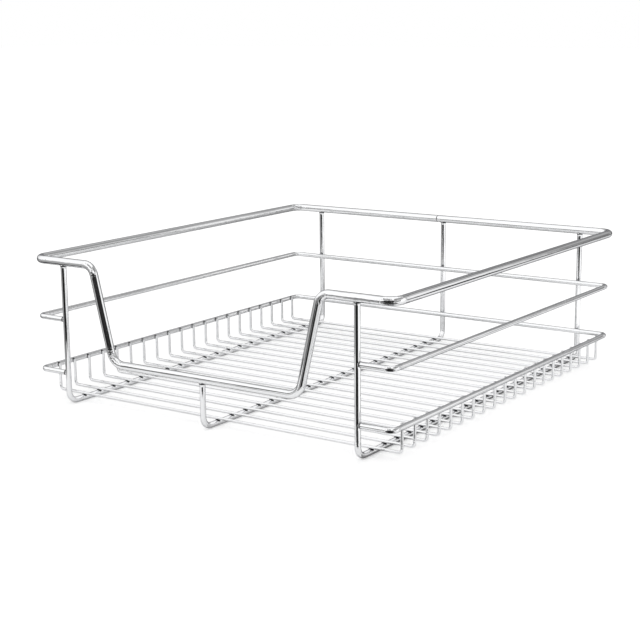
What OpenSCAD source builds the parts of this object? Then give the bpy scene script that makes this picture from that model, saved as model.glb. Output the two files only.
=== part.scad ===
// Pull-out cabinet basket of bent and welded chromed wire.
// +X is to the right, +Y to the back, +Z up. The origin is on the surface that the
// basket rests on, under the middle of its plan outline.

/* [Overall size] */
// Width over the top rim, left to right
basket_width = 420; // [340:1:560]
// Depth over the top rim, front to back
basket_depth = 448; // [380:1:520]
// Height from the resting surface to the top of the rim
basket_height = 146; // [125:1:200]

/* [Top rim] */
// Wire diameter of the top rim
rim_wire = 8; // [7:0.5:10]
// Centre-line radius of the rim's four corners
rim_corner_radius = 12; // [9:0.5:25]
// Weld seam of the rim, to the left of the middle of its back run
rim_seam_offset = 7; // [6:0.5:40]

/* [Front dip] */
// Distance from the left or right carrier's centre line to the dip's corner at rim height
dip_inset = 37.5; // [30:0.5:50]
// Distance that each leg of the dip leans inward on its way down
dip_lean_in = 23; // [12:0.5:32]
// Height of the low bar's centre line above the resting surface
dip_bar_height = 48.3; // [36:0.1:80]
// Centre-line radius of the two upper bends
dip_upper_radius = 12; // [9:0.5:16]
// Centre-line radius of the two lower bends
dip_lower_radius = 15; // [9:0.5:20]

/* [Side rails] */
// Wire diameter of the middle and lower rails
rail_wire = 5; // [4:0.5:5]
// Centre-line radius of the rails' corners
rail_corner_radius = 6.5; // [5:0.5:13]
// Height of the middle rail's centre line above the resting surface
middle_rail_height = 85; // [70:0.5:100]
// Height of the lower rail's centre line above the resting surface
lower_rail_height = 31.7; // [26:0.1:45]

/* [Carrier wires] */
// Wire diameter of the three front-to-back carrier wires
carrier_wire = 5.5; // [5.5:0.5:7]
// Distance from the rim's outer side to the left or right carrier's centre line
carrier_inset = 41; // [34:0.5:60]
// Centre-line radius of the carriers' bends
carrier_bend_radius = 10; // [8:0.5:14]
// Flare of the weld where an upright meets the rim
weld_flare = 0.6; // [0.3:0.1:0.9]
// Height of that flare below the rim
weld_flare_height = 1.6; // [1:0.1:3]

/* [Floor wires] */
// Number of floor wires
floor_wire_count = 20; // [16:1:24]
// Wire diameter of the floor wires
floor_wire_size = 2.8; // [2:0.1:3.5]
// Centre-line radius of each floor wire's two bends
floor_bend_radius = 3.6; // [3:0.1:5]
// Distance from the rim's front or back centre line to the nearest floor wire
floor_margin = 20.5; // [17:0.5:40]
// Height of the upstand tips above the lower rail's centre line
tip_rise = 1.4; // [0.5:0.1:4]
// Chamfer on the cut tips
tip_chamfer = 0.4; // [0.2:0.1:0.6]

/* [Hidden] */
$fn = 48;
chrome = [0.80, 0.81, 0.83];

// Centre lines of the rim
rim_x = (basket_width - rim_wire) / 2;
rim_y = (basket_depth - rim_wire) / 2;
rim_z = basket_height - rim_wire / 2;

// The carriers' bottom runs lie on the resting surface
carrier_x = basket_width / 2 - carrier_inset;
carrier_z = carrier_wire / 2;

// The dip's legs lean by the same turn at both bends
dip_drop = rim_z - dip_bar_height;
dip_turn = steady_turn(atan(dip_drop / dip_lean_in));
dip_leg = dip_drop / sin(dip_turn) - setback(dip_upper_radius, dip_turn)
    - setback(dip_lower_radius, dip_turn);
// Where the upper bends start and the lower bends end, to each side of the middle
dip_top_x = carrier_x - dip_inset + setback(dip_upper_radius, dip_turn);
dip_low_x = carrier_x - dip_inset - dip_lean_in - setback(dip_lower_radius, dip_turn);
// Length by which the rim's two halves run past the middle of the low bar
half_overlap = 1;

// The rails' inner faces line up with the rim's, and their back runs pass in front of
// the back uprights
rail_x = rim_x - rim_wire / 2 + rail_wire / 2;
rail_back_y = rim_y - carrier_wire / 2 - rail_wire / 2;

// The floor wires lie on the carriers and their upstands stand inside the lower rail
floor_x = rail_x - rail_wire / 2 - floor_wire_size / 2;
floor_z = carrier_wire + floor_wire_size / 2;
floor_tip_z = lower_rail_height + tip_rise;
floor_pitch = 2 * (rim_y - floor_margin) / (floor_wire_count - 1);

// Weld flare at the rim, no wider than the rim can carry
flare_radius = min(carrier_wire / 2 + weld_flare, 0.9 * rim_wire / 2);

// Depth of the groove that is left where the rim's two ends meet
seam_depth = 0.4;

FLOOR_WIRES = [for (i = [1 : floor_wire_count]) str("floor_wire_", i < 10 ? "0" : "", i)];

// ---- wire bending ----
// A wire of diameter $wire is made as a bender makes it: fed along +Z, bent towards +X,
// and rolled about its own axis to change the plane of the next bend. Each step carries
// the steps after it as its children.

// Straight stretch
module feed(length) {
    cylinder(h = length, d = $wire);
    translate([0, 0, length])
        children();
}

// Turn about the wire's own axis
module roll(angle) {
    rotate([0, 0, angle])
        children();
}

// Round bend to a centre-line radius, towards +X, or towards -X if the angle is negative.
// What follows is turned in two steps, the angle and then what rounding left of it, so
// that it starts square on the bend's end.
module bend(radius, angle) {
    centre = [sign(angle) * radius, 0, 0];
    translate(centre) {
        rotate([90, 0, angle > 0 ? 180 : 0])
            rotate_extrude(angle = abs(angle))
                translate([radius, 0])
                    rotate(angle > 0 ? 180 : 0)
                        circle(d = $wire);
        rotate([0, angle, 0])
            rotate([0, left_by_rounding(angle), 0])
                translate(-centre)
                    children();
    }
}

// A number to six digits
function six_digits(v) =
    abs(v) < 1e-9 ? 0 : let (scale = pow(10, 5 - floor(log(abs(v))))) round(v * scale) / scale;

// Angle that is left when a turn's sine and cosine are kept to six digits
function left_by_rounding(angle) =
    angle - atan2(six_digits(sin(angle)), six_digits(cos(angle)));

// How far a turn's sine and cosine, kept to six digits, are from a length of one
function growth_by_rounding(angle) =
    abs(norm([six_digits(sin(angle)), six_digits(cos(angle))]) - 1);

// Turn in thousandths of a degree, within a few hundredths of the one asked for, that
// rounding changes least, out of those where it presses the wire after the bend into the
// bend's end and doesn't lift it off
function steady_turn(angle) =
    let (near = [for (k = [-30 : 30]) (round(1000 * angle) + k) / 1000])
    let (turns = [for (turn = near) if (left_by_rounding(turn) < 0) turn])
    let (least = min([for (turn = turns) growth_by_rounding(turn)]))
    [for (turn = turns) if (growth_by_rounding(turn) == least) turn][0];

// Straight length that a bend takes up before the corner of its centre lines
function setback(radius, angle) = radius * tan(angle / 2);

// ---- top rim ----

// Closed loop whose two halves mirror each other, with a butt seam in its back run
module top_rim() {
    color(chrome)
        difference() {
            union() {
                half_rim();
                mirror([1, 0, 0])
                    half_rim();
            }
            seam_groove();
        }
}

// Left half of the rim, from the middle of the back run round the side and down
// through the dip to the middle of its low bar
module half_rim($wire = rim_wire) {
    corner = rim_corner_radius;
    translate([0, rim_y, rim_z])
        rotate([0, -90, 0])
            roll(-90)
                feed(rim_x - corner) bend(corner, 90)
                feed(2 * (rim_y - corner)) bend(corner, 90)
                roll(-90)
                feed(rim_x - corner - dip_top_x) bend(dip_upper_radius, dip_turn)
                feed(dip_leg) bend(dip_lower_radius, -dip_turn)
                feed(dip_low_x + half_overlap);
}

// Ring that cuts a round groove where the two ends of the wire meet
module seam_groove() {
    translate([-rim_seam_offset, rim_y, rim_z])
        rotate([0, 90, 0])
            rotate_extrude()
                translate([rim_wire / 2, 0])
                    circle(r = seam_depth);
}

// ---- side rails ----

// Open loop round three sides, whose ends turn in at the front and butt against the
// outer sides of the two front uprights
module rail(z, $wire = rail_wire) {
    corner = rail_corner_radius;
    turn_in = rail_x - corner - carrier_x;
    side_run = rail_back_y + rim_y - 2 * corner;
    difference() {
        translate([-carrier_x, -rim_y, z])
            rotate([0, -90, 0])
                roll(90)
                    feed(turn_in) bend(corner, 90)
                    feed(side_run) bend(corner, 90)
                    feed(2 * (rail_x - corner)) bend(corner, 90)
                    feed(side_run) bend(corner, 90)
                    feed(turn_in);
        for (side = [-1, 1])
            translate([side * carrier_x, -rim_y, z])
                cylinder(h = 2 * rail_wire, d = carrier_wire, center = true);
    }
}

module middle_rail() {
    color(chrome)
        rail(middle_rail_height);
}

module lower_rail() {
    color(chrome)
        rail(lower_rail_height);
}

// ---- carrier wires ----

// Upright, bottom run and upright in one bent wire, with both ends shaped to the
// underside of the rim; front_z is the centre line of the rim wire above the front end
module carrier(x, front_z, $wire = carrier_wire) {
    corner = carrier_bend_radius;
    front = [x, -rim_y, front_z];
    back = [x, rim_y, rim_z];
    difference() {
        union() {
            translate(front)
                rotate([180, 0, 90])
                    feed(front_z - carrier_z - corner) bend(corner, 90)
                    feed(2 * (rim_y - corner)) bend(corner, 90)
                    feed(rim_z - carrier_z - corner);
            for (end = [front, back])
                flare(end);
        }
        for (end = [front, back])
            translate(end)
                rotate([0, 90, 0])
                    cylinder(h = 4 * carrier_wire, d = rim_wire, center = true);
    }
}

// Cone of weld that widens an upright's top to its seat under the rim
module flare(end) {
    reach = rim_wire / 2 + weld_flare_height;
    translate(end - [0, 0, reach])
        cylinder(h = reach - rim_wire / 4, r1 = carrier_wire / 2, r2 = flare_radius);
}

module left_carrier() {
    color(chrome)
        carrier(-carrier_x, rim_z);
}

// The middle carrier's front upright is short and ends under the dip's low bar
module centre_carrier() {
    color(chrome)
        carrier(0, dip_bar_height);
}

module right_carrier() {
    color(chrome)
        carrier(carrier_x, rim_z);
}

// ---- floor wires ----

// One floor wire, counted from the front: a run across the carriers with both ends
// bent up as short upstands, and the cut tips chamfered
module floor_wire(index, $wire = floor_wire_size) {
    corner = floor_bend_radius;
    y = -rim_y + floor_margin + index * floor_pitch;
    neck_z = floor_tip_z - tip_chamfer;
    upstand = neck_z - floor_z - corner;
    color(chrome)
        union() {
            translate([-floor_x, y, neck_z])
                rotate([180, 0, 0])
                    feed(upstand) bend(corner, 90)
                    feed(2 * (floor_x - corner)) bend(corner, 90)
                    feed(upstand);
            for (side = [-1, 1])
                translate([side * floor_x, y, neck_z])
                    cylinder(h = tip_chamfer, d1 = floor_wire_size,
                             d2 = floor_wire_size - 2 * tip_chamfer);
        }
}

top_rim();
middle_rail();
lower_rail();
left_carrier();
centre_carrier();
right_carrier();
for (i = [0 : floor_wire_count - 1])
    floor_wire(i);
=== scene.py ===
"""Pull-out cabinet basket of bent, welded and chromed wire, in a plain white studio.

Lengths are in metres in the part's own frame: +X right, +Y back, +Z up, origin under the
middle of the basket on the surface it rests on.
"""

import bpy
import numpy as np
from mathutils import Matrix


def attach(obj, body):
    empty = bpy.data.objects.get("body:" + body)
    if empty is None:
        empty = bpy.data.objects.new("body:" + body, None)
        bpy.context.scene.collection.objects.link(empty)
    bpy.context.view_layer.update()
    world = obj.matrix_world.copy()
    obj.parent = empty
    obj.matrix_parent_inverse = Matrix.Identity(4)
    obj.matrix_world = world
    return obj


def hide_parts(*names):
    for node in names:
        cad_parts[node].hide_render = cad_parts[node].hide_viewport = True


MM = 0.001

# ---- sizes, the same as in the part's source ----

RIM_WIRE = 8.0 * MM
RAIL_WIRE = 5.0 * MM
CARRIER_WIRE = 5.5 * MM
FLOOR_WIRE = 2.8 * MM

RIM_X, RIM_Y, RIM_Z = 206 * MM, 220 * MM, 142 * MM
RIM_CORNER = 12 * MM
SEAM_X = -7 * MM
CARRIER_X = 169 * MM
CARRIER_PLACES = (-CARRIER_X, 0.0, CARRIER_X)
CARRIER_Z = CARRIER_WIRE / 2
CARRIER_BEND = 10 * MM
DIP_TOP_X = 131.5 * MM
DIP_BOTTOM_X = 108.5 * MM
DIP_Z = 48.3 * MM
DIP_UPPER_BEND, DIP_LOWER_BEND = 12 * MM, 15 * MM
RAIL_X = RIM_X - RIM_WIRE / 2 + RAIL_WIRE / 2
RAIL_BACK_Y = RIM_Y - CARRIER_WIRE / 2 - RAIL_WIRE / 2
RAIL_CORNER = 6.5 * MM
MIDDLE_RAIL_Z, LOWER_RAIL_Z = 85 * MM, 31.7 * MM
FLOOR_X = RAIL_X - RAIL_WIRE / 2 - FLOOR_WIRE / 2
FLOOR_Z = CARRIER_WIRE + FLOOR_WIRE / 2
TIP_RISE = 1.4 * MM
FLOOR_TIP_Z = LOWER_RAIL_Z + TIP_RISE
TIP_ROUNDING = 0.4 * MM
FLOOR_BEND = 3.6 * MM
FLOOR_COUNT = 20
FLOOR_MARGIN = 20.5 * MM
FLOOR_Y = np.linspace(FLOOR_MARGIN - RIM_Y, RIM_Y - FLOOR_MARGIN, FLOOR_COUNT)

# How far an end that butts on another wire runs into it
UPRIGHT_TOP_OVERLAP = 1.6 * MM
RAIL_END_OVERLAP = 1.2 * MM

# ---- what welding and bending leave on a wire, with painted shade and reflections ----

# Height of the swelling and its reach along the wire, depth of the stain and its spread. At
# the welds the stain is weld burn together with painted shade of the joint. The rim's welds
# under the uprights are stained each in its own depth.
RIM_WELD = dict(height=0.3 * MM, reach=2.4 * MM, spread=2.6 * MM)
RIM_SEAM = dict(height=-0.32 * MM, reach=0.45 * MM, stain=0.9, spread=0.45 * MM)
# Painted dark reflection on the rim's front right corner, a stain of no height
RIM_PAINTED_REFLECTION = dict(height=0.0, reach=1.7 * MM, stain=0.57, spread=8.0 * MM)
RAIL_END = dict(height=0.2 * MM, reach=1.2 * MM, stain=0.8, spread=0.9 * MM)
# Painted dark reflection on a rail's front right corner, a stain of no height
RAIL_PAINTED_REFLECTION = dict(height=0.0, reach=1.7 * MM, stain=0.72, spread=4.2 * MM)
RAIL_ON_UPRIGHT = dict(height=0.5 * MM, reach=1.9 * MM, stain=1.0, spread=2.6 * MM)
RAIL_ON_UPSTAND = dict(height=0.4 * MM, reach=1.7 * MM, stain=1.0, spread=1.9 * MM)
UPRIGHT_TOP = dict(height=0.3 * MM, reach=1.2 * MM, stain=0.7, spread=0.8 * MM)
UPRIGHT_ON_RAIL = dict(height=0.4 * MM, reach=2.0 * MM, stain=1.0, spread=2.4 * MM)
UPRIGHT_ON_RAIL_END = dict(height=0.35 * MM, reach=2.4 * MM, stain=0.7, spread=1.8 * MM)
CARRIER_ON_FLOOR_WIRE = dict(height=0.35 * MM, reach=1.7 * MM, stain=1.0, spread=2.6 * MM)
FLOOR_WIRE_ON_CARRIER = dict(height=0.6 * MM, reach=1.5 * MM, stain=0.95, spread=3.2 * MM)
UPSTAND_ON_RAIL = dict(height=0.55 * MM, reach=1.4 * MM, stain=1.0, spread=1.8 * MM)

# Distance of the weld's collar from a butting end
RAIL_COLLAR, UPRIGHT_COLLAR = 1.4 * MM, 1.7 * MM

# Painted dark reflections on the front right corners, laid on as stains of no height:
# distance in from the centre line of the right side run, and the side of the wire they lie on
RIM_REFLECTION_INSET, RIM_REFLECTION_SIDE = 4.5 * MM, (0.35, -0.90, -0.26)
RAIL_REFLECTION_INSET, RAIL_REFLECTION_SIDE = 3 * MM, (0.25, -0.8, -0.55)

# How strongly each bend wrinkles the plate, and how soon that ends beside the bend
RIM_CREASES = [1.0, 0.6, 1.0, 1.0, 0.15, 0.3, 0.8, 0.6]
CARRIER_CREASES = [0.3, 1.0]
CREASE_FADE = 2.5 * MM

# How far past a wire's half round, as a cosine, the stain of a mark on one side goes
STAIN_AND_SHADE_WRAP = 0.1

# ---- fineness of the meshes ----

# Turn of a bend from ring to ring, how many reaches of a mark have fine rings, rings on a
# rounded tip, points tried in a search along a wire, and the slack of a comparison
RING_TURN = np.radians(4)
FINE_REACHES = 2.4
TIP_RINGS = 6
SEARCH_POINTS = 20001
SLACK = 1e-9


# ---- centre lines of bent wires ----


def unit(v):
    """The vectors v, each divided by its own length."""
    v = np.asarray(v, float)
    return v / np.linalg.norm(v, axis=-1, keepdims=True)


class Straight:
    """Straight stretch of a centre line between two points."""

    crease = 0.0

    def __init__(self, start, end):
        self.start, self.direction = start, unit(end - start)
        self.length = np.linalg.norm(end - start)

    def at(self, t):
        """Points start + t*direction, and the direction."""
        return self.start + self.direction * t, self.direction

    def steps(self, step):
        """Number of even steps between rings."""
        return max(1, int(np.ceil(self.length / step)))


class Bend:
    """Arc that rounds one corner of a centre line and is tangent to both stretches: it
    starts and ends r*tan(turn/2) from the corner."""

    def __init__(self, corner, before, after, radius, crease):
        turn = np.arccos(np.clip(before @ after, -1, 1))
        setback = radius * np.tan(turn / 2)
        self.start, self.end = corner - before * setback, corner + after * setback
        self.before, self.inward = before, unit(after - before * np.cos(turn))
        self.centre = self.start + self.inward * radius
        self.radius, self.crease = radius, crease
        self.length = radius * turn

    def at(self, t):
        """With the angle a = t/r, points centre + r*(sin a * before - cos a * inward), and
        tangents cos a * before + sin a * inward."""
        a = t / self.radius
        points = self.centre + self.radius * (np.sin(a) * self.before - np.cos(a) * self.inward)
        return points, np.cos(a) * self.before + np.sin(a) * self.inward

    def steps(self, _):
        """Number of even turns between rings."""
        return max(2, int(np.ceil(self.length / self.radius / RING_TURN)))


class BentWire:
    """Centre line of a wire: straight stretches along a polyline, with a bend of its own
    radius at each inner corner, and at every corner where the wire is closed."""

    def __init__(self, corners, radii, closed=False, creases=None):
        corners = np.asarray(corners, float)
        count = len(corners)
        bends = {}
        for k, radius, crease in zip(range(0 if closed else 1, count), radii,
                                     creases or [1.0] * len(radii)):
            before = unit(corners[k] - corners[k - 1])
            after = unit(corners[(k + 1) % count] - corners[k])
            bends[k] = Bend(corners[k], before, after, radius, crease)
        self.closed = closed
        self.pieces = []
        for k in range(count if closed else count - 1):
            following = (k + 1) % count
            start = bends[k].end if k in bends else corners[k]
            end = bends[following].start if following in bends else corners[following]
            self.pieces.append(Straight(start, end))
            if following in bends:
                self.pieces.append(bends[following])
        self.begins = np.cumsum([0.0] + [piece.length for piece in self.pieces])
        self.length = self.begins[-1]

    def at(self, s):
        """Points and unit tangents at the lengths s along the centre line."""
        s = np.clip(np.asarray(s, float), 0, self.length)
        points, tangents = np.zeros(s.shape + (3,)), np.zeros(s.shape + (3,))
        for begin, piece in zip(self.begins, self.pieces):
            inside = (s >= begin - SLACK) & (s <= begin + piece.length + SLACK)
            points[inside], tangents[inside] = piece.at((s[inside] - begin)[:, None])
        return points, tangents

    def nearest(self, point):
        """Length along the centre line that comes closest to a point."""
        s = np.linspace(0, self.length, SEARCH_POINTS)
        return float(s[np.argmin(np.linalg.norm(self.at(s)[0] - np.asarray(point), axis=1))])

    def bending(self, s):
        """Each bend's crease on the bend, falling away outside as exp(-(distance/fade)^2)."""
        found = np.zeros_like(s)
        for begin, piece in zip(self.begins, self.pieces):
            apart = np.maximum(np.maximum(begin - s, s - begin - piece.length), 0)
            found = np.maximum(found, piece.crease * np.exp(-((apart / CREASE_FADE) ** 2)))
        return found

    def stations(self, step, fine, fine_span, fine_step):
        """Lengths at which the wire gets a ring: even steps on straight stretches, even
        turns on bends, and fine steps within fine_span of each length in fine. Rings closer
        than a third of the fine step are left out."""
        found = [np.array([0.0, self.length])]
        for begin, piece in zip(self.begins, self.pieces):
            found.append(np.linspace(begin, begin + piece.length, piece.steps(step) + 1))
        fine_count = int(round(2 * fine_span / fine_step))
        for s in fine:
            found.append(s + np.linspace(-fine_span, fine_span, fine_count + 1))
        s = np.sort(np.concatenate(found))
        s = s[(s >= 0) & (s <= self.length)]
        keep = np.concatenate([[True], np.diff(s) > fine_step / 3])
        s = s[keep]
        s[-1] = self.length
        return s


# ---- surfaces ----


class Mark:
    """What welding leaves round one length s along a wire, or a painted dark reflection on a
    bend.

    side is the direction towards the other wire, or the side on which a painted reflection
    lies, or None for a collar all round. With c the cosine of the angle to side, d the distance
    along the wire and w the stain's wrap, the radius grows by
    height * exp(-(d/reach)^2) * max(0, c)^2, and the stain is
    stain * exp(-(d/spread)^2) * max(0, c + w) / (1 + w). At a weld the stain is weld burn
    together with painted shade of the joint, and a mark of height 0 is only a painted dark
    reflection, as on the front right corners. A height below 0 cuts a groove, as at the rim's
    seam.
    """

    def __init__(self, s, side, height, reach, stain, spread):
        self.s, self.side = s, side
        self.height, self.reach = height, reach
        self.stain, self.spread = stain, spread


def ring_lengths(wire, marks, step, fine_step, tip_rounding):
    """Lengths along the wire at which it gets a ring: its stations, with fine steps round
    each mark, and at rounded tips the lengths r*(1 - cos a) for even angles a up to 90."""
    fine_span = FINE_REACHES * max(m.reach for m in marks)
    s = wire.stations(step, [m.s for m in marks], fine_span, fine_step)
    if tip_rounding:
        lift = tip_rounding * (1 - np.cos(np.linspace(0, np.pi / 2, TIP_RINGS)))
        s = np.concatenate([s, lift, wire.length - lift])
    s = np.unique(np.round(s, 8))
    return s[:-1] if wire.closed else s


def radius_and_stain(wire, s, around, size, marks, tip_rounding):
    """Radius and stain of every ring vertex: half the wire size plus each mark's swelling, and
    the strongest stain, which is weld burn with painted shade at the joints and painted dark
    reflection on the front right corners. At a rounded tip the radius falls away as a quarter
    circle."""
    radius = np.full(around.shape[:2], size / 2)
    stain = np.zeros(around.shape[:2])
    for m in marks:
        apart = np.abs(s - m.s)
        if wire.closed:
            apart = np.minimum(apart, wire.length - apart)
        towards = around @ unit(m.side) if m.side is not None else np.ones(around.shape[:2])
        radius += (m.height * np.exp(-((apart / m.reach) ** 2))[:, None]
                   * np.clip(towards, 0, 1) ** 2)
        stain = np.maximum(stain, m.stain * np.exp(-((apart / m.spread) ** 2))[:, None]
                           * np.clip((towards + STAIN_AND_SHADE_WRAP) / (1 + STAIN_AND_SHADE_WRAP), 0, 1))
    if tip_rounding:
        from_tip = np.minimum(s, wire.length - s)
        gone = np.clip((tip_rounding - from_tip) / tip_rounding, 0, 1)
        radius -= (tip_rounding * (1 - np.sqrt(1 - gone**2)))[:, None]
    return radius, stain


def wall(wire, s, sides, arc):
    """Quads between neighbouring rings, and their UV corners: length along the wire, and
    length round it with arc for each side."""
    rings = len(s)
    i = np.arange(rings if wire.closed else rings - 1)[:, None]
    j = np.arange(sides)[None, :]
    i2, j2 = (i + 1) % rings, (j + 1) % sides
    quads = np.stack([i * sides + j, i * sides + j2, i2 * sides + j2, i2 * sides + j], axis=-1)
    s_next = np.append(s[1:], wire.length) if wire.closed else s[1:]
    s_here = s if wire.closed else s[:-1]
    grid = np.ones((len(i), sides))
    u0, u1 = s_here[:, None] * grid, s_next[:, None] * grid
    v0, v1 = j * arc * grid, (j + 1) * arc * grid
    uv = np.stack([np.stack([u0, v0], -1), np.stack([u0, v1], -1),
                   np.stack([u1, v1], -1), np.stack([u1, v0], -1)], axis=2)
    return quads.reshape(-1, 4), uv.reshape(-1, 2)


def end_caps(wire, rings, sides, arc):
    """Triangles from the middle of each end to its ring, and their UV corners. The two
    middles come after the rings' vertices."""
    j = np.arange(sides)
    j2 = (j + 1) % sides
    middle = rings * sides
    last_ring = (rings - 1) * sides
    first = np.stack([np.full(sides, middle), j2, j], axis=-1)
    last = np.stack([np.full(sides, middle + 1), last_ring + j, last_ring + j2], axis=-1)
    uv = [np.stack([np.stack([np.full(sides, length), (j + 0.5) * arc], -1),
                    np.stack([np.full(sides, length), (j + 1) * arc], -1),
                    np.stack([np.full(sides, length), j * arc], -1)], axis=1).reshape(-1, 2)
          for length in (0.0, wire.length)]
    return np.vstack([first, last]), np.vstack(uv)


def wire_mesh(name, wire, size, reference, marks, sides, step, fine_step, tip_rounding=0.0):
    """Round section carried along a bent wire.

    A ring vertex is P(s) + R(s, a) * (cos a * e1 + sin a * e2), where e1 is the reference
    direction made square to the tangent and e2 = tangent x e1. R is half the wire size,
    changed by the marks and the tips' rounding. The UV map holds the length along the wire
    and the length round it.
    """
    s = ring_lengths(wire, marks, step, fine_step, tip_rounding)
    points, tangents = wire.at(s)
    ref = reference(points) if callable(reference) else np.broadcast_to(reference, points.shape)
    e1 = unit(ref - np.sum(ref * tangents, axis=1, keepdims=True) * tangents)
    e2 = np.cross(tangents, e1)
    angle = np.linspace(0, 2 * np.pi, sides, endpoint=False)
    around = (np.cos(angle)[None, :, None] * e1[:, None, :]
              + np.sin(angle)[None, :, None] * e2[:, None, :])
    radius, stain = radius_and_stain(wire, s, around, size, marks, tip_rounding)
    verts = (points[:, None, :] + radius[:, :, None] * around).reshape(-1, 3)
    # The stain attribute holds weld burn with painted shade at the joints, and painted dark
    # reflections
    looks = {"weld_stain": stain, "bend_wrinkle": wire.bending(s)[:, None] + 0 * stain}
    arc = np.pi * size / sides
    quads, uv = wall(wire, s, sides, arc)
    loops, starts = [quads.ravel()], [np.arange(len(quads)) * 4]
    totals = [np.full(len(quads), 4)]
    if not wire.closed:
        verts = np.vstack([verts, points[0], points[-1]])
        looks = {label: np.concatenate([v.ravel(), [v[0].mean(), v[-1].mean()]])
                 for label, v in looks.items()}
        fans, fan_uv = end_caps(wire, len(s), sides, arc)
        loops.append(fans.ravel())
        starts.append(len(quads) * 4 + np.arange(len(fans)) * 3)
        totals.append(np.full(len(fans), 3))
        uv = np.vstack([uv, fan_uv])
    return put_mesh(name, verts, np.concatenate(loops), np.concatenate(starts),
                    np.concatenate(totals), uv, looks)


def put_mesh(name, verts, loops, starts, totals, uv, looks):
    """New object at the origin from whole arrays of corners, with its UV map and its
    point attributes."""
    mesh = bpy.data.meshes.new(name)
    mesh.vertices.add(len(verts))
    mesh.vertices.foreach_set("co", verts.astype(np.float32).ravel())
    mesh.loops.add(len(loops))
    mesh.loops.foreach_set("vertex_index", loops.astype(np.int32))
    mesh.polygons.add(len(starts))
    mesh.polygons.foreach_set("loop_start", starts.astype(np.int32))
    mesh.polygons.foreach_set("loop_total", totals.astype(np.int32))
    mesh.update(calc_edges=True)
    mesh.polygons.foreach_set("use_smooth", np.ones(len(starts), bool))
    layer = mesh.uv_layers.new(name="along_and_round")
    layer.data.foreach_set("uv", uv.astype(np.float32).ravel())
    add_attributes(mesh, looks)
    mesh.validate()
    return put_object(name, mesh)


def add_attributes(mesh, values_by_name):
    """One number for each vertex under each name."""
    for label, values in values_by_name.items():
        kept = mesh.attributes.new(name=label, type="FLOAT", domain="POINT")
        kept.data.foreach_set("value", values.astype(np.float32).ravel())


def put_object(name, data):
    """New object at the origin that holds the data."""
    made = bpy.data.objects.new(name, data)
    bpy.context.scene.collection.objects.link(made)
    return made


# ---- finishes ----

PLATE_TONE = (0.88, 0.885, 0.895, 1)
# Tone of weld burn, also used for painted shade at the joints and painted dark reflections
STAIN_AND_SHADE_TONE = (0.05, 0.05, 0.052, 1)
EDGE_TINT = (0.2, 0.2, 0.21, 1)

# Noise cells in a metre along the wire and round it, and octaves of detail. The speckle has
# as many cells in every direction.
WAVE_CELLS, WAVE_DETAIL = (45, 90, 1), 1.0
DRAWN_CELLS, DRAWN_DETAIL = (9, 420, 1), 3.0
WRINKLE_CELLS, WRINKLE_DETAIL = (520, 240, 1), 1.5
SPECKLE_CELLS = 900.0

# Heights of the waves, drawn lines and wrinkles at full strength
WAVE_HEIGHT, DRAWN_HEIGHT, WRINKLE_HEIGHT = 0.35 * MM, 0.2 * MM, 0.45 * MM

# The stain's outline: how far the speckle moves it and where it starts and is full
SPECKLE_SHARE, SPECKLE_SHIFT = 0.35, -0.17
STAIN_AND_SHADE_START, STAIN_AND_SHADE_FULL = 0.30, 0.62

# Roughness that the drawn lines and the stain add to the polish
LINES_HAZE, STAIN_AND_SHADE_HAZE = 0.05, 0.28


def node(tree, kind, at, **values):
    """New node of a kind at a place in the node editor, with its properties set."""
    made = tree.nodes.new(kind)
    made.location = at
    for key, value in values.items():
        setattr(made, key, value)
    return made


def fill(tree, socket, value):
    """Links a socket to a socket, or sets it to a plain value."""
    if isinstance(value, bpy.types.NodeSocket):
        tree.links.new(value, socket)
    else:
        socket.default_value = value


def calculate(tree, operation, at, *values):
    """Result of a Math node, whose inputs are sockets or numbers."""
    made = node(tree, "ShaderNodeMath", at, operation=operation)
    for socket, value in zip(made.inputs, values):
        fill(tree, socket, value)
    return made.outputs["Value"]


def surface_noise(tree, uv, cells, detail, row):
    """Noise laid on the UV map with so many cells in a metre along and round the wire."""
    stretch = node(tree, "ShaderNodeMapping", (-1100, row))
    noise = node(tree, "ShaderNodeTexNoise", (-900, row))
    fill(tree, stretch.inputs["Vector"], uv)
    fill(tree, stretch.inputs["Scale"], cells)
    fill(tree, noise.inputs["Vector"], stretch.outputs["Vector"])
    fill(tree, noise.inputs["Scale"], 1.0)
    fill(tree, noise.inputs["Detail"], detail)
    return noise.outputs["Fac"]


def bump(tree, at, height, distance, strength, normal=None):
    """Normal tilted by a height field, on top of an earlier normal if there is one."""
    made = node(tree, "ShaderNodeBump", at)
    fill(tree, made.inputs["Height"], height)
    fill(tree, made.inputs["Distance"], distance)
    fill(tree, made.inputs["Strength"], strength)
    if normal is not None:
        fill(tree, made.inputs["Normal"], normal)
    return made.outputs["Normal"]


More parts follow.
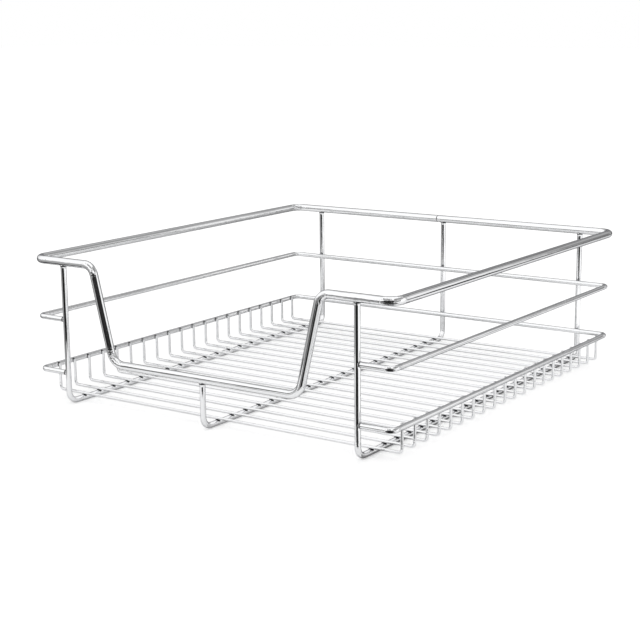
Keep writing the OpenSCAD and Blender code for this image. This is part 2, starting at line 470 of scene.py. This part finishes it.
def plated_steel_group():
    """Node group: surface of drawn, chromed steel wire.

    Colour falls from the plate's own tone to the stain's tone where the attribute of weld
    stain and painted shade, roughened by a speckle, is high: weld burn together with painted
    shade at the joints, and painted dark reflections on the front right corners. Roughness is
    the polish plus a little haze from the drawn lines and more from the stain. Normal comes
    from three heights in the UV map: slow waves, lines drawn along the wire, and wrinkles
    where the bend_wrinkle attribute says that the wire was bent.
    """
    tree = bpy.data.node_groups.new("plated_steel", "ShaderNodeTree")
    face = tree.interface
    for name, kind, default in (
        ("Plate", "NodeSocketColor", PLATE_TONE),
        ("Stain and shade", "NodeSocketColor", STAIN_AND_SHADE_TONE),
        ("Polish", "NodeSocketFloat", 0.05),
        ("Drawn lines", "NodeSocketFloat", 0.6),
        ("Waves", "NodeSocketFloat", 0.3),
    ):
        face.new_socket(name, in_out="INPUT", socket_type=kind).default_value = default
    face.new_socket("Color", in_out="OUTPUT", socket_type="NodeSocketColor")
    face.new_socket("Roughness", in_out="OUTPUT", socket_type="NodeSocketFloat")
    face.new_socket("Normal", in_out="OUTPUT", socket_type="NodeSocketVector")
    given = node(tree, "NodeGroupInput", (-1300, 0)).outputs
    result = node(tree, "NodeGroupOutput", (700, 0)).inputs

    uv = node(tree, "ShaderNodeUVMap", (-1300, -300), uv_map="along_and_round").outputs["UV"]
    lines = surface_noise(tree, uv, DRAWN_CELLS, DRAWN_DETAIL, -300)
    waves = surface_noise(tree, uv, WAVE_CELLS, WAVE_DETAIL, -600)
    wrinkles = surface_noise(tree, uv, WRINKLE_CELLS, WRINKLE_DETAIL, -900)
    bent = node(tree, "ShaderNodeAttribute", (-900, -1200), attribute_name="bend_wrinkle")
    raised = calculate(tree, "MULTIPLY", (-600, -900), wrinkles, bent.outputs["Fac"])
    waved = bump(tree, (-300, -600), waves, WAVE_HEIGHT, given["Waves"])
    lined = bump(tree, (-50, -500), lines, DRAWN_HEIGHT, given["Drawn lines"], waved)
    wrinkled = bump(tree, (200, -400), raised, WRINKLE_HEIGHT, 1.0, lined)
    fill(tree, result["Normal"], wrinkled)

    # Weld stain with painted shade at the joints, and painted dark reflections on the corners
    stain = node(tree, "ShaderNodeAttribute", (-900, 300), attribute_name="weld_stain")
    place = node(tree, "ShaderNodeTexCoord", (-1100, 550))
    speckle = node(tree, "ShaderNodeTexNoise", (-900, 550))
    fill(tree, speckle.inputs["Vector"], place.outputs["Object"])
    fill(tree, speckle.inputs["Scale"], SPECKLE_CELLS)
    patchy = calculate(tree, "MULTIPLY_ADD", (-600, 450), speckle.outputs["Fac"],
                       SPECKLE_SHARE, SPECKLE_SHIFT)
    outline = calculate(tree, "ADD", (-450, 300), stain.outputs["Fac"], patchy)
    amount = node(tree, "ShaderNodeMapRange", (-300, 300), interpolation_type="SMOOTHSTEP")
    fill(tree, amount.inputs["Value"], outline)
    fill(tree, amount.inputs["From Min"], STAIN_AND_SHADE_START)
    fill(tree, amount.inputs["From Max"], STAIN_AND_SHADE_FULL)
    stained = amount.outputs["Result"]
    colour = node(tree, "ShaderNodeMix", (200, 200), data_type="RGBA")
    fill(tree, colour.inputs["Factor"], stained)
    fill(tree, colour.inputs["A"], given["Plate"])
    fill(tree, colour.inputs["B"], given["Stain and shade"])
    fill(tree, result["Color"], colour.outputs["Result"])

    haze = calculate(tree, "MULTIPLY_ADD", (-300, 0), lines, LINES_HAZE, given["Polish"])
    rough = calculate(tree, "MULTIPLY_ADD", (200, 0), stained, STAIN_AND_SHADE_HAZE, haze)
    fill(tree, result["Roughness"], rough)
    return tree


def blank_material(name):
    """New material, its empty node tree and the surface socket of its output."""
    material = bpy.data.materials.new(name)
    material.use_nodes = True
    tree = material.node_tree
    tree.nodes.clear()
    return material, tree, node(tree, "ShaderNodeOutputMaterial", (800, 0)).inputs["Surface"]


def chrome(name, group, polish, drawn, waves):
    """Chrome finish for one gauge of wire: full metal, its looks from the group."""
    material, tree, surface = blank_material(name)
    steel = node(tree, "ShaderNodeBsdfPrincipled", (300, 0))
    steel.inputs["Metallic"].default_value = 1.0
    steel.inputs["Specular Tint"].default_value = EDGE_TINT
    look = node(tree, "ShaderNodeGroup", (0, 0), node_tree=group)
    look.inputs["Plate"].default_value = PLATE_TONE
    look.inputs["Polish"].default_value = polish
    look.inputs["Drawn lines"].default_value = drawn
    look.inputs["Waves"].default_value = waves
    fill(tree, steel.inputs["Base Color"], look.outputs["Color"])
    fill(tree, steel.inputs["Roughness"], look.outputs["Roughness"])
    fill(tree, steel.inputs["Normal"], look.outputs["Normal"])
    fill(tree, surface, steel.outputs["BSDF"])
    return material


# ---- the basket's wires ----

LEFT, RIGHT, BACK = (-1, 0, 0), (1, 0, 0), (0, 1, 0)
FRONT, UP, DOWN = (0, -1, 0), (0, 0, 1), (0, 0, -1)


def dress(piece, cad_node, finish):
    """Puts a finish on a wire and sets it in the frame in place of its plain solid."""
    piece.data.materials.append(finish)
    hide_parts(cad_node)
    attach(piece, "root")


def rim_reference(points):
    """Up on the sides and back, and turning to +Y along the front bars before the dip:
    the mix angle is 90 degrees times how far |x| has gone from the corner to the dip."""
    outer, inner = RIM_X - RIM_CORNER, DIP_TOP_X + DIP_UPPER_BEND
    in_front = points[:, 1] < -RIM_Y + 1 * MM
    gone = np.clip((outer - np.abs(points[:, 0])) / (outer - inner), 0, 1)
    mix = np.where(in_front, gone, 0) * np.pi / 2
    return np.stack([np.zeros_like(mix), np.sin(mix), np.cos(mix)], axis=1)


def build_rim(finish):
    """Closed loop, with the front run dipping through two mirrored S-bends, and a mark
    where each upright meets it, some darker than others: weld burn with painted shade of the
    joint. A painted dark reflection lies on its front right corner."""
    x, y, z = RIM_X, RIM_Y, RIM_Z
    corners = [(-x, y, z), (-x, -y, z), (-DIP_TOP_X, -y, z), (-DIP_BOTTOM_X, -y, DIP_Z),
               (DIP_BOTTOM_X, -y, DIP_Z), (DIP_TOP_X, -y, z), (x, -y, z), (x, y, z)]
    radii = [RIM_CORNER, RIM_CORNER, DIP_UPPER_BEND, DIP_LOWER_BEND,
             DIP_LOWER_BEND, DIP_UPPER_BEND, RIM_CORNER, RIM_CORNER]
    wire = BentWire(corners, radii, closed=True, creases=RIM_CREASES)
    upright_tops = (((-CARRIER_X, -y, z), 0.6), ((CARRIER_X, -y, z), 0.75),
                    ((0, -y, DIP_Z), 0.35), ((-CARRIER_X, y, z), 0.6),
                    ((0, y, z), 0.7), ((CARRIER_X, y, z), 0.8))
    marks = [Mark(wire.nearest(top), DOWN, stain=stain, **RIM_WELD)
             for top, stain in upright_tops]
    marks.append(Mark(wire.nearest((SEAM_X, y, z)), None, **RIM_SEAM))
    # Painted dark reflection on the front right corner
    painted_reflection_at = wire.nearest((x - RIM_REFLECTION_INSET, -y, z))
    marks.append(Mark(painted_reflection_at, RIM_REFLECTION_SIDE, **RIM_PAINTED_REFLECTION))
    piece = wire_mesh("top_rim_wire", wire, RIM_WIRE, rim_reference, marks, sides=40,
                      step=6 * MM, fine_step=0.3 * MM)
    dress(piece, "top_rim", finish)


def build_rail(name, z, cad_node, finish, upstands):
    """Open loop round three sides, its ends butting the outer front uprights."""
    end = CARRIER_X + CARRIER_WIRE / 2 - RAIL_END_OVERLAP
    corners = [(-end, -RIM_Y, z), (-RAIL_X, -RIM_Y, z), (-RAIL_X, RAIL_BACK_Y, z),
               (RAIL_X, RAIL_BACK_Y, z), (RAIL_X, -RIM_Y, z), (end, -RIM_Y, z)]
    wire = BentWire(corners, [RAIL_CORNER] * 4)
    marks = [Mark(s, None, **RAIL_END) for s in (RAIL_COLLAR, wire.length - RAIL_COLLAR)]
    # Painted dark reflection on the front right corner
    painted_reflection_at = wire.nearest((RAIL_X - RAIL_REFLECTION_INSET, -RIM_Y, z))
    marks.append(Mark(painted_reflection_at, RAIL_REFLECTION_SIDE, **RAIL_PAINTED_REFLECTION))
    marks += [Mark(wire.nearest((x, RAIL_BACK_Y, z)), BACK, **RAIL_ON_UPRIGHT)
              for x in CARRIER_PLACES]
    if upstands:
        marks += [Mark(wire.nearest((rail_x, y, z)), inward, **RAIL_ON_UPSTAND)
                  for rail_x, inward in ((-RAIL_X, RIGHT), (RAIL_X, LEFT)) for y in FLOOR_Y]
    piece = wire_mesh(name, wire, RAIL_WIRE, UP, marks, sides=28, step=6 * MM,
                      fine_step=0.45 * MM)
    dress(piece, cad_node, finish)


def build_carrier(name, x, front_z, cad_node, finish):
    """Upright, bottom run and upright; the tops run a little way into the rim."""
    below_rim = RIM_WIRE / 2 - UPRIGHT_TOP_OVERLAP
    corners = [(x, -RIM_Y, front_z - below_rim), (x, -RIM_Y, CARRIER_Z),
               (x, RIM_Y, CARRIER_Z), (x, RIM_Y, RIM_Z - below_rim)]
    wire = BentWire(corners, [CARRIER_BEND] * 2, creases=CARRIER_CREASES)
    marks = [Mark(s, None, **UPRIGHT_TOP)
             for s in (UPRIGHT_COLLAR, wire.length - UPRIGHT_COLLAR)]
    marks += [Mark(wire.nearest((x, y, CARRIER_Z)), UP, **CARRIER_ON_FLOOR_WIRE)
              for y in FLOOR_Y]
    rails = (MIDDLE_RAIL_Z, LOWER_RAIL_Z)
    marks += [Mark(wire.nearest((x, RIM_Y, z)), FRONT, **UPRIGHT_ON_RAIL) for z in rails]
    if x != 0:
        outward = RIGHT if x > 0 else LEFT
        marks += [Mark(wire.nearest((x, -RIM_Y, z)), outward, **UPRIGHT_ON_RAIL_END)
                  for z in rails]
    piece = wire_mesh(name, wire, CARRIER_WIRE, RIGHT, marks, sides=32, step=6 * MM,
                      fine_step=0.45 * MM)
    dress(piece, cad_node, finish)


def build_floor_wire(index, y, finish):
    """Run across the carriers with both ends bent up against the lower rail."""
    x = FLOOR_X
    corners = [(-x, y, FLOOR_TIP_Z), (-x, y, FLOOR_Z), (x, y, FLOOR_Z), (x, y, FLOOR_TIP_Z)]
    wire = BentWire(corners, [FLOOR_BEND] * 2)
    marks = [Mark(wire.nearest((carrier_x, y, FLOOR_Z)), DOWN, **FLOOR_WIRE_ON_CARRIER)
             for carrier_x in CARRIER_PLACES]
    marks += [Mark(wire.nearest((upstand_x, y, LOWER_RAIL_Z)), outward, **UPSTAND_ON_RAIL)
              for upstand_x, outward in ((-x, LEFT), (x, RIGHT))]
    piece = wire_mesh(f"floor_wire_{index:02d}_wire", wire, FLOOR_WIRE, BACK, marks,
                      sides=20, step=8 * MM, fine_step=0.4 * MM, tip_rounding=TIP_ROUNDING)
    dress(piece, f"floor_wire_{index:02d}", finish)


# ---- studio ----

# Each grid is given as rows and columns of points. A pair of places is where a soft edge
# starts and ends.

# Camera: where it stands, its right and its line of sight, the width of its sensor in
# millimetres, its focal length in widths of the image, and how near and far it sees
VIEW_FROM = np.array([0.81073, -1.20239, 0.37435])
VIEW_RIGHT = np.array([0.82357, 0.56713, -0.00986])
VIEW_AHEAD = np.array([-0.55629, 0.80419, -0.20935])
SENSOR_WIDTH = 36
FOCAL_LENGTH = 1436.08 / 640
SEEN_FROM, SEEN_TO = 0.05, 50

# Level directions on the floor: towards the viewer, and to the viewer's right
TO_VIEWER = unit(np.array([-VIEW_AHEAD[0], -VIEW_AHEAD[1], 0]))
TO_RIGHT = np.array([-TO_VIEWER[1], TO_VIEWER[0], 0])

# White floor: how far it reaches, how far it lies below the wires, its tone, and the glow
# that the eye sees on it
FLOOR_REACH = 12.0
FLOOR_DROP = 0.2 * MM
FLOOR_TONE = (0.86, 0.86, 0.86, 1)
FLOOR_GLOW = 0.26

# Light tent that the chrome mirrors: its white, its radius and its lowest elevation. Each
# area of the surroundings: its first and last bearing and the softness of those edges, its
# lower and upper elevation and the softness of those (in degrees), and its tone. Later
# areas lie over earlier ones.
TENT_WHITE = 1.15
TENT_RADIUS = 5.0
TENT_LOWEST = -80
SURROUNDINGS = (
    # grey panels high up on the near side
    (24, 97, 10, 28, 62, 8, 0.30),
    (-60, 4, 10, 36, 64, 8, 0.30),
    # band across the far side, from the right to the left, with lighter and darker parts
    (101, 212, 8, 14, 56, 4, 0.42),
    (154, 212, 12, 14, 56, 6, 0.62),
    (136, 150, 5, 27, 38, 5, 0.27),
    (120, 136, 6, 38, 48, 5, 0.26),
    (118, 134, 6, 28, 36, 4, 0.68),
    (127, 158, 8, 18, 26, 3, 0.66),
    # bright opening on the right, and dark patches low down in it and beyond it
    (98, 120, 4, -90, 22, 4, 1.05),
    (98, 106, 3, -12, 17, 5, 0.27),
    (109, 122, 3, -17, -2, 2, 0.02),
    (116.5, 150, 5, -12, 14, 4, 0.27),
    # grey room below the horizon on the far side and on the left, darkest low on the left,
    # and a small dark patch above it
    (150, 330, 10, -90, 2, 8, 0.30),
    (-130, -66, 8, -90, 2, 10, 0.42),
    (-66, -28, 8, -90, -16, 5, 0.31),
    (-120, -72, 8, -66, -32, 10, 0.07),
    (-78, -70, 2, 10.5, 16.5, 1.5, 0.0),
    # dark room on the near side, with a pale strip low on the right
    (-38, 58, 6, -2, 20, 4, 0.03),
    (-64, 26, 6, -16, 1, 4, 0.015),
    (8, 100, 8, -38, -24, 4, 0.80),
    (-34, 8, 8, -34, -14, 4, 0.02),
    (-50, 60, 8, -62, -39, 4, 0.012),
)

# Table top: how far it lies below the wires, its spans towards the viewer and to the
# viewer's right, and its edges. The near edge comes further out at the table's left end.
TABLE_DROP = 0.1 * MM
TABLE_SPAN_NEAR, TABLE_SPAN_ASIDE = (-1.3, 0.4), (-0.5, 1.3)
TABLE_GRID = (341, 181)
TABLE_FAR_EDGE = (-1.3, -1.1)
TABLE_LEFT_EDGE, TABLE_RIGHT_EDGE = (-0.40, -0.35), (1.0, 1.2)
TABLE_NEAR_EDGE, TABLE_NEAR_FADE = 0.310, 0.010
TABLE_STEP, TABLE_STEP_PLACE = 0.050, (-0.26, -0.20)

# The table's cut-off corner, its tones, and where it stays light on the right and, in part,
# on the left, all in the part's own x and y
TABLE_CUT_X, TABLE_CUT_Y = (0.41, 0.44), (0.2, 0.3)
TABLE_FRONT, TABLE_MIDDLE, TABLE_BACK = 0.97, 0.88, 0.42
TABLE_FRONT_FADE, TABLE_BACK_FADE = (-0.26, -0.18), (0.06, 0.36)
TABLE_LIGHT_RIGHT = (0.07, 0.15)
TABLE_LIGHT_LEFT, TABLE_LIGHT_LEFT_END, TABLE_LIGHT_LEFT_SHARE = (0.22, 0.27), (0.4, 0.5), 0.55

# White cards and the width of their soft edges. Each card: its x and y ranges, its height,
# its tone, and whether it is seen from below
CARD_FADE = 20 * MM
CARD_GRID = (61, 49)
CARDS = (
    ("card_over_floor_wires", (-0.19, 0.19), (-0.25, 0.23), 0.024, 1.1, True),
    ("card_beside_basket", (0.165, 0.365), (-0.02, 0.60), 0.036, 1.25, False),
)

# Dark strips on the table beside two carriers: how high they lie, how far they end before
# the uprights' centre lines, where they start, begin to fade and end, counted from the
# carrier, and each one's place and tone
SHADE_LIFT = 0.05 * MM
SHADE_GRID = (89, 17)
SHADE_SHORT = 4 * MM
SHADE_START, SHADE_FADE, SHADE_END = -1 * MM, 5 * MM, 15 * MM
CONTACT_SHADES = (
    ("shade_beside_centre_carrier", 0.0, 0.5),
    ("shade_beside_right_carrier", CARRIER_X, 0.27),
)

# Dark card in front of the dip: its plane, its left and right edges, the x at which its
# bottom and top have the heights given, their slopes, the share of its height that fades
# at the bottom and at the top, and its tone
DARK_CARD_Y = -0.25
DARK_CARD_GRID = (25, 47)
DARK_CARD_LEFT, DARK_CARD_RIGHT = (-0.14, -0.12), (0.075, 0.09)
DARK_CARD_X = -0.12
DARK_CARD_BOTTOM, DARK_CARD_BOTTOM_SLOPE = 0.047, 0.05
DARK_CARD_TOP, DARK_CARD_TOP_SLOPE = 0.0575, 0.10
DARK_CARD_FADE = 0.2
DARK_CARD_TONE = 0.1


def mirror_only(name, shader_kind, one_sided=False):
    """Material that only mirror-like reflections see. For glossy rays it is a matt or a
    glowing surface whose tone comes from the mesh's tone attribute and which fades out
    where the cover attribute falls to 0. All other rays pass through, and a one-sided
    surface also lets through those that meet its front."""
    material, tree, output = blank_material(name)
    material.cycles.emission_sampling = "NONE"
    surface = node(tree, shader_kind, (200, 100))
    clear = node(tree, "ShaderNodeBsdfTransparent", (200, -100))
    path = node(tree, "ShaderNodeLightPath", (-400, 300))
    tone = node(tree, "ShaderNodeAttribute", (-400, 100), attribute_name="tone")
    cover = node(tree, "ShaderNodeAttribute", (-400, -100), attribute_name="cover")
    shown = calculate(tree, "MULTIPLY", (-200, 300), path.outputs["Is Glossy Ray"],
                      cover.outputs["Fac"])
    if one_sided:
        facing = node(tree, "ShaderNodeNewGeometry", (-200, 500))
        shown = calculate(tree, "MULTIPLY", (0, 400), shown, facing.outputs["Backfacing"])
    mix = node(tree, "ShaderNodeMixShader", (500, 0))
    fill(tree, surface.inputs["Color"], tone.outputs["Color"])
    fill(tree, mix.inputs["Fac"], shown)
    fill(tree, mix.inputs[1], clear.outputs["BSDF"])
    fill(tree, mix.inputs[2], surface.outputs[0])
    fill(tree, output, mix.outputs["Shader"])
    return material


def stage_grid(name, points, tone, cover, material):
    """Sheet of quads through a grid of points, with its tone and cover at each point."""
    rows, columns = points.shape[:2]
    i, j = np.arange(rows - 1)[:, None], np.arange(columns - 1)[None, :]
    quads = np.stack([i * columns + j, i * columns + j + 1,
                      (i + 1) * columns + j + 1, (i + 1) * columns + j], axis=-1)
    mesh = bpy.data.meshes.new(name)
    mesh.from_pydata(points.reshape(-1, 3).tolist(), [], quads.reshape(-1, 4).tolist())
    add_attributes(mesh, {"tone": np.broadcast_to(tone, (rows, columns)),
                          "cover": np.broadcast_to(cover, (rows, columns))})
    mesh.materials.append(material)
    put_object(name, mesh)


def ramp(v, low, high):
    """0 below low, 1 above high, and 3t^2 - 2t^3 between."""
    t = np.clip((v - low) / (high - low), 0, 1)
    return t * t * (3 - 2 * t)


def window(v, low, high, fade):
    """0 outside low and high, and 1 between them except for soft edges as wide as fade."""
    return ramp(v, low, low + fade) * (1 - ramp(v, high - fade, high))


def sector(bearing, low, high, soft):
    """1 where the bearing, in degrees, lies between low and high going clockwise, with
    soft edges that are that many degrees wide."""
    middle, half = (low + high) / 2, (high - low) / 2
    apart = np.abs((bearing - middle + 180) % 360 - 180)
    return 1 - ramp(apart, half - soft / 2, half + soft / 2)


def build_surroundings():
    """Shell of studio tones round the basket, seen only in its reflections.

    Bearings are measured from the viewer's direction, positive to the viewer's right. The
    tone starts as the white of a light tent and is mixed towards each area's own tone by
    a window in bearing times a window in elevation.
    """
    bearing = np.arange(-180, 180.5, 0.5)[None, :]
    height = np.arange(TENT_LOWEST, 90.5, 0.5)[:, None]
    tone = np.full((height.size, bearing.size), TENT_WHITE)
    for low, high, soft, bottom, top, fade, shade in SURROUNDINGS:
        area = (sector(bearing, low, high, soft)
                * window(height, bottom - fade / 2, top + fade / 2, fade))
        tone += (shade - tone) * area
    b, h = np.radians(bearing)[..., None], np.radians(height)[..., None]
    level = TO_VIEWER * np.cos(b) + TO_RIGHT * np.sin(b)
    points = TENT_RADIUS * (level * np.cos(h) + np.array(UP) * np.sin(h))
    stage_grid("studio_surroundings", points, tone, 1.0,
               mirror_only("surroundings_tone", "ShaderNodeEmission"))


def build_table_top():
    """White table top that the basket's wires mirror. Its left edge runs along the view, its
    near edge lies close in front of the basket, and its corner behind the basket's right is
    cut off. Its tone falls towards the back, but stays light on the right and, in part, on
    the left. The cover is the product of ramps across the edges."""
    near = np.linspace(*TABLE_SPAN_NEAR, TABLE_GRID[0])[:, None]
    aside = np.linspace(*TABLE_SPAN_ASIDE, TABLE_GRID[1])[None, :]
    points = (near[..., None] * TO_VIEWER + aside[..., None] * TO_RIGHT
              + TABLE_DROP * np.array(DOWN))
    x, y = points[..., 0], points[..., 1]
    edge = TABLE_NEAR_EDGE + TABLE_STEP * (1 - ramp(aside, *TABLE_STEP_PLACE))
    cover = (ramp(aside, *TABLE_LEFT_EDGE) * (1 - ramp(aside, *TABLE_RIGHT_EDGE))
             * (1 - ramp(near, edge - TABLE_NEAR_FADE, edge + TABLE_NEAR_FADE))
             * ramp(near, *TABLE_FAR_EDGE)
             * (1 - ramp(x, *TABLE_CUT_X) * ramp(y, *TABLE_CUT_Y)))
    tone = (TABLE_FRONT + (TABLE_MIDDLE - TABLE_FRONT) * ramp(y, *TABLE_FRONT_FADE)
            + (TABLE_BACK - TABLE_MIDDLE) * ramp(y, *TABLE_BACK_FADE))
    light = (ramp(x, *TABLE_LIGHT_RIGHT) + TABLE_LIGHT_LEFT_SHARE
             * ramp(-x, *TABLE_LIGHT_LEFT) * (1 - ramp(-x, *TABLE_LIGHT_LEFT_END)))
    tone += (TABLE_FRONT - tone) * light
    stage_grid("table_top", points, tone, cover,
               mirror_only("table_tone", "ShaderNodeBsdfDiffuse"))


def build_light_card(name, x_range, y_range, z, tone, from_below):
    """Level white card seen only in mirrors and from one side, with edges that fade out.
    The grid's rows run backwards on a card that is seen from above, which turns its front
    down."""
    x = np.linspace(*x_range, CARD_GRID[1])[None, :]
    y = np.linspace(*(y_range if from_below else y_range[::-1]), CARD_GRID[0])[:, None]
    points = np.stack(np.broadcast_arrays(x, y, z), axis=-1)
    cover = window(x, *x_range, CARD_FADE) * window(y, *y_range, CARD_FADE)
    stage_grid(name, points, tone, cover,
               mirror_only(name + "_tone", "ShaderNodeEmission", one_sided=True))


def build_contact_shade(name, carrier_x, tone):
    """Dark strip on the table along the right of a carrier's bottom run, where the wire
    keeps the light off. It fades out away from the wire."""
    apart = np.linspace(SHADE_START, SHADE_END, SHADE_GRID[1])[None, :]
    y = np.linspace(SHADE_SHORT - RIM_Y, RIM_Y - SHADE_SHORT, SHADE_GRID[0])[:, None]
    points = np.stack(np.broadcast_arrays(carrier_x + apart, y, SHADE_LIFT), axis=-1)
    stage_grid(name, points, tone, 1 - ramp(apart, SHADE_FADE, SHADE_END),
               mirror_only(name + "_tone", "ShaderNodeEmission"))


def build_dark_card():
    """Upright dark card in front of the dip's low bar, which mirrors it as a thin line. Its
    band rises and widens from left to right, and its edges fade out."""
    x = np.linspace(DARK_CARD_LEFT[0], DARK_CARD_RIGHT[1], DARK_CARD_GRID[1])[None, :]
    across = np.linspace(0, 1, DARK_CARD_GRID[0])[:, None]
    bottom = DARK_CARD_BOTTOM + DARK_CARD_BOTTOM_SLOPE * (x - DARK_CARD_X)
    top = DARK_CARD_TOP + DARK_CARD_TOP_SLOPE * (x - DARK_CARD_X)
    z = bottom + (top - bottom) * across
    points = np.stack(np.broadcast_arrays(x, DARK_CARD_Y, z), axis=-1)
    cover = (ramp(x, *DARK_CARD_LEFT) * (1 - ramp(x, *DARK_CARD_RIGHT))
             * window(across, 0, 1, DARK_CARD_FADE))
    stage_grid("dark_card", points, DARK_CARD_TONE, cover,
               mirror_only("dark_card_tone", "ShaderNodeEmission"))


def build_floor():
    """Large pale floor. It is matt white, and what the eye sees of it is lifted by a little
    glow so that it stays white while it keeps the basket's shadow. Mirrors see the table
    top in its place."""
    mesh = bpy.data.meshes.new("studio_floor")
    r, z = FLOOR_REACH, -FLOOR_DROP
    mesh.from_pydata([(-r, -r, z), (r, -r, z), (r, r, z), (-r, r, z)], [], [(0, 1, 2, 3)])
    material, tree, surface = blank_material("floor_white")
    path = node(tree, "ShaderNodeLightPath", (-400, 300))
    matt = node(tree, "ShaderNodeBsdfDiffuse", (0, 0))
    glow = node(tree, "ShaderNodeEmission", (200, 200))
    both = node(tree, "ShaderNodeAddShader", (400, 0))
    clear = node(tree, "ShaderNodeBsdfTransparent", (400, -200))
    mix = node(tree, "ShaderNodeMixShader", (600, 0))
    lift = calculate(tree, "MULTIPLY", (0, 300), path.outputs["Is Camera Ray"], FLOOR_GLOW)
    fill(tree, matt.inputs["Color"], FLOOR_TONE)
    fill(tree, glow.inputs["Strength"], lift)
    fill(tree, both.inputs[0], matt.outputs["BSDF"])
    fill(tree, both.inputs[1], glow.outputs["Emission"])
    fill(tree, mix.inputs["Fac"], path.outputs["Is Glossy Ray"])
    fill(tree, mix.inputs[1], both.outputs["Shader"])
    fill(tree, mix.inputs[2], clear.outputs["BSDF"])
    fill(tree, surface, mix.outputs["Shader"])
    mesh.materials.append(material)
    put_object("studio_floor", mesh)


def build_world():
    """Even white studio light from all round."""
    world = bpy.data.worlds.new("white_studio")
    bpy.context.scene.world = world
    world.use_nodes = True
    tree = world.node_tree
    tree.nodes.clear()
    out = node(tree, "ShaderNodeOutputWorld", (400, 0))
    sky = node(tree, "ShaderNodeBackground", (200, 0))
    sky.inputs["Color"].default_value = (1, 1, 1, 1)
    sky.inputs["Strength"].default_value = 1.0
    tree.links.new(sky.outputs["Background"], out.inputs["Surface"])


def build_camera():
    """Camera at the catalogue angle: from the right front, a little above the rim. Its axes
    are the line of sight, the right made square to it, and the product of the two."""
    data = bpy.data.cameras.new("camera")
    data.sensor_width = SENSOR_WIDTH
    data.lens = SENSOR_WIDTH * FOCAL_LENGTH
    data.clip_start, data.clip_end = SEEN_FROM, SEEN_TO
    camera = put_object("camera", data)
    ahead = unit(VIEW_AHEAD)
    right = unit(VIEW_RIGHT - (VIEW_RIGHT @ ahead) * ahead)
    pose = np.eye(4)
    pose[:3, :3] = np.stack([right, np.cross(right, ahead), -ahead], axis=1)
    pose[:3, 3] = VIEW_FROM
    camera.matrix_world = Matrix(pose.tolist())
    bpy.context.scene.camera = camera


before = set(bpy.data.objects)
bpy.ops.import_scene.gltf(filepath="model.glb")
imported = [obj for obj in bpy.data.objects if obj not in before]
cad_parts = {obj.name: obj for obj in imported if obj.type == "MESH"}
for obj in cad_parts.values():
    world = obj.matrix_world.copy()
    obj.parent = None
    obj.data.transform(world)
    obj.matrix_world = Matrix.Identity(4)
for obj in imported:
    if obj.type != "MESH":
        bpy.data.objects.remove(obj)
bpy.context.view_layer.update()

look = plated_steel_group()
rim_chrome = chrome("rim_chrome", look, polish=0.045, drawn=0.6, waves=0.3)
rail_chrome = chrome("rail_chrome", look, polish=0.05, drawn=0.6, waves=0.3)
carrier_chrome = chrome("carrier_chrome", look, polish=0.05, drawn=0.6, waves=0.3)
floor_chrome = chrome("floor_wire_chrome", look, polish=0.06, drawn=0.4, waves=0.3)

build_rim(rim_chrome)
build_rail("middle_rail_wire", MIDDLE_RAIL_Z, "middle_rail", rail_chrome, upstands=False)
build_rail("lower_rail_wire", LOWER_RAIL_Z, "lower_rail", rail_chrome, upstands=True)
build_carrier("left_carrier_wire", -CARRIER_X, RIM_Z, "left_carrier", carrier_chrome)
build_carrier("centre_carrier_wire", 0.0, DIP_Z, "centre_carrier", carrier_chrome)
build_carrier("right_carrier_wire", CARRIER_X, RIM_Z, "right_carrier", carrier_chrome)
for number, wire_y in enumerate(FLOOR_Y, start=1):
    build_floor_wire(number, wire_y, floor_chrome)

build_floor()
build_world()
build_camera()

build_surroundings()
build_table_top()
for card in CARDS:
    build_light_card(*card)
build_dark_card()
for shade in CONTACT_SHADES:
    build_contact_shade(*shade)

bpy.context.scene.view_settings.view_transform = "Standard"

bpy.context.view_layer.update()
